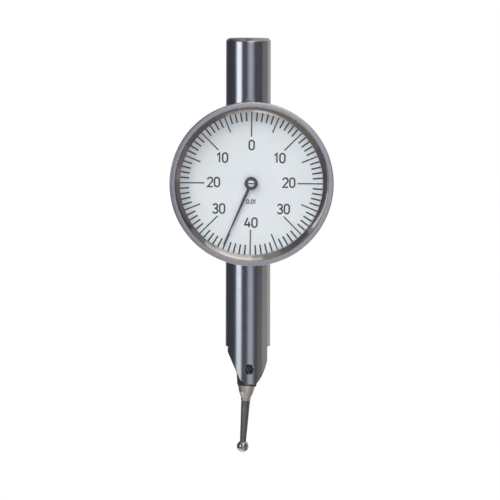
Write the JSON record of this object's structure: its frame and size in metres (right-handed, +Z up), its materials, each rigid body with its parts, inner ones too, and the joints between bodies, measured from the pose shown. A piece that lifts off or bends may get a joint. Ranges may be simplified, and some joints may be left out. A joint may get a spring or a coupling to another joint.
{
  "type": "dial test indicator",
  "caption": "Lever-type dial test indicator: a round shank ending in a fork, a round dial with a turning bezel, and a swivelling ball-tipped contact.",
  "frame": {"origin": "centre of the flat top face of the shank", "axes": "+Z up along the shank's axis, away from the contact; the dial faces -Y; +X to the right of the dial's reader"},
  "size_m": [0.0292, 0.0146, 0.0746],
  "materials": {
    "polished_steel": "polished, ground round",
    "satin_steel": "satin",
    "matte_steel": "matte, fine turned",
    "spring_steel": "polished, hardened",
    "brass": "satin",
    "blackened_steel": "blackened, satin",
    "hard_chrome": "polished",
    "white_enamel": "semi-matt enamel",
    "ruby": "polished",
    "clear_glass": "clear"
  },
  "bodies": {
    "housing": {"body_tube": "polished_steel", "dial_case": "satin_steel", "case_screw_1": "spring_steel", "case_screw_2": "spring_steel", "case_screw_3": "spring_steel", "case_screw_4": "spring_steel", "bezel_spring": "spring_steel", "bush_intermediate_rear": "brass", "pivot_screw_front": "spring_steel", "pivot_screw_rear": "spring_steel", "movement_bridge": "brass", "jewel_centre_rear": "ruby", "jewel_centre_front": "ruby", "jewel_intermediate_front": "ruby", "bridge_pillar_1": "brass", "bridge_pillar_2": "brass", "bridge_screw_1": "spring_steel", "bridge_screw_2": "spring_steel", "hairspring_stud": "brass"},
    "pointer_train": {"centre_arbor": "spring_steel", "hairspring_collet": "brass", "hairspring": "spring_steel", "pointer_hub": "blackened_steel", "pointer": "blackened_steel"},
    "intermediate_train": {"intermediate_arbor": "spring_steel", "intermediate_wheel": "brass", "wheel_collet": "brass"},
    "lever": {"measuring_lever": "matte_steel", "gear_sector": "brass", "sector_rivet_1": "matte_steel", "sector_rivet_2": "matte_steel", "lever_arbor": "spring_steel"},
    "contact": {"swivel_fork": "matte_steel", "friction_washer_front": "spring_steel", "friction_washer_rear": "spring_steel", "contact_stem": "polished_steel", "contact_ball": "hard_chrome"},
    "bezel_assembly": {"bezel": "satin_steel", "crystal": "clear_glass", "crystal_ring": "satin_steel", "dial_plate": "white_enamel", "dial_retainer": "spring_steel"}
  },
  "joints": [
    {"name": "pointer_spin", "type": "hinge", "parent": "housing", "child": "pointer_train", "pos_m": [0, 0, -0.0255], "axis": [0, 1, 0], "range_deg": [0, 393.55], "stiffness_Nm_per_rad": 0.000002, "springref_deg": -458.37, "deforming": ["hairspring"]},
    {"name": "intermediate_spin", "type": "hinge", "parent": "housing", "child": "intermediate_train", "pos_m": [0, 0, -0.03075], "axis": [0, 1, 0], "range_deg": [-107.4, 0]},
    {"name": "lever_swing", "type": "hinge", "parent": "housing", "child": "lever", "pos_m": [0, 0, -0.05925], "axis": [0, 1, 0], "range_deg": [0, 3.5]},
    {"name": "contact_swivel", "type": "hinge", "parent": "lever", "child": "contact", "pos_m": [0, 0, -0.05925], "axis": [0, 1, 0], "range_deg": [-110, 102]},
    {"name": "bezel_turn", "type": "hinge", "parent": "housing", "child": "bezel_assembly", "pos_m": [0, 0, -0.0255], "axis": [0, 1, 0], "continuous": true}
  ],
  "couplings": [
    {"joint": "intermediate_spin", "follows": "pointer_spin", "ratio": -0.27273},
    {"joint": "lever_swing", "follows": "pointer_spin", "ratio": 0.0088933}
  ]
}
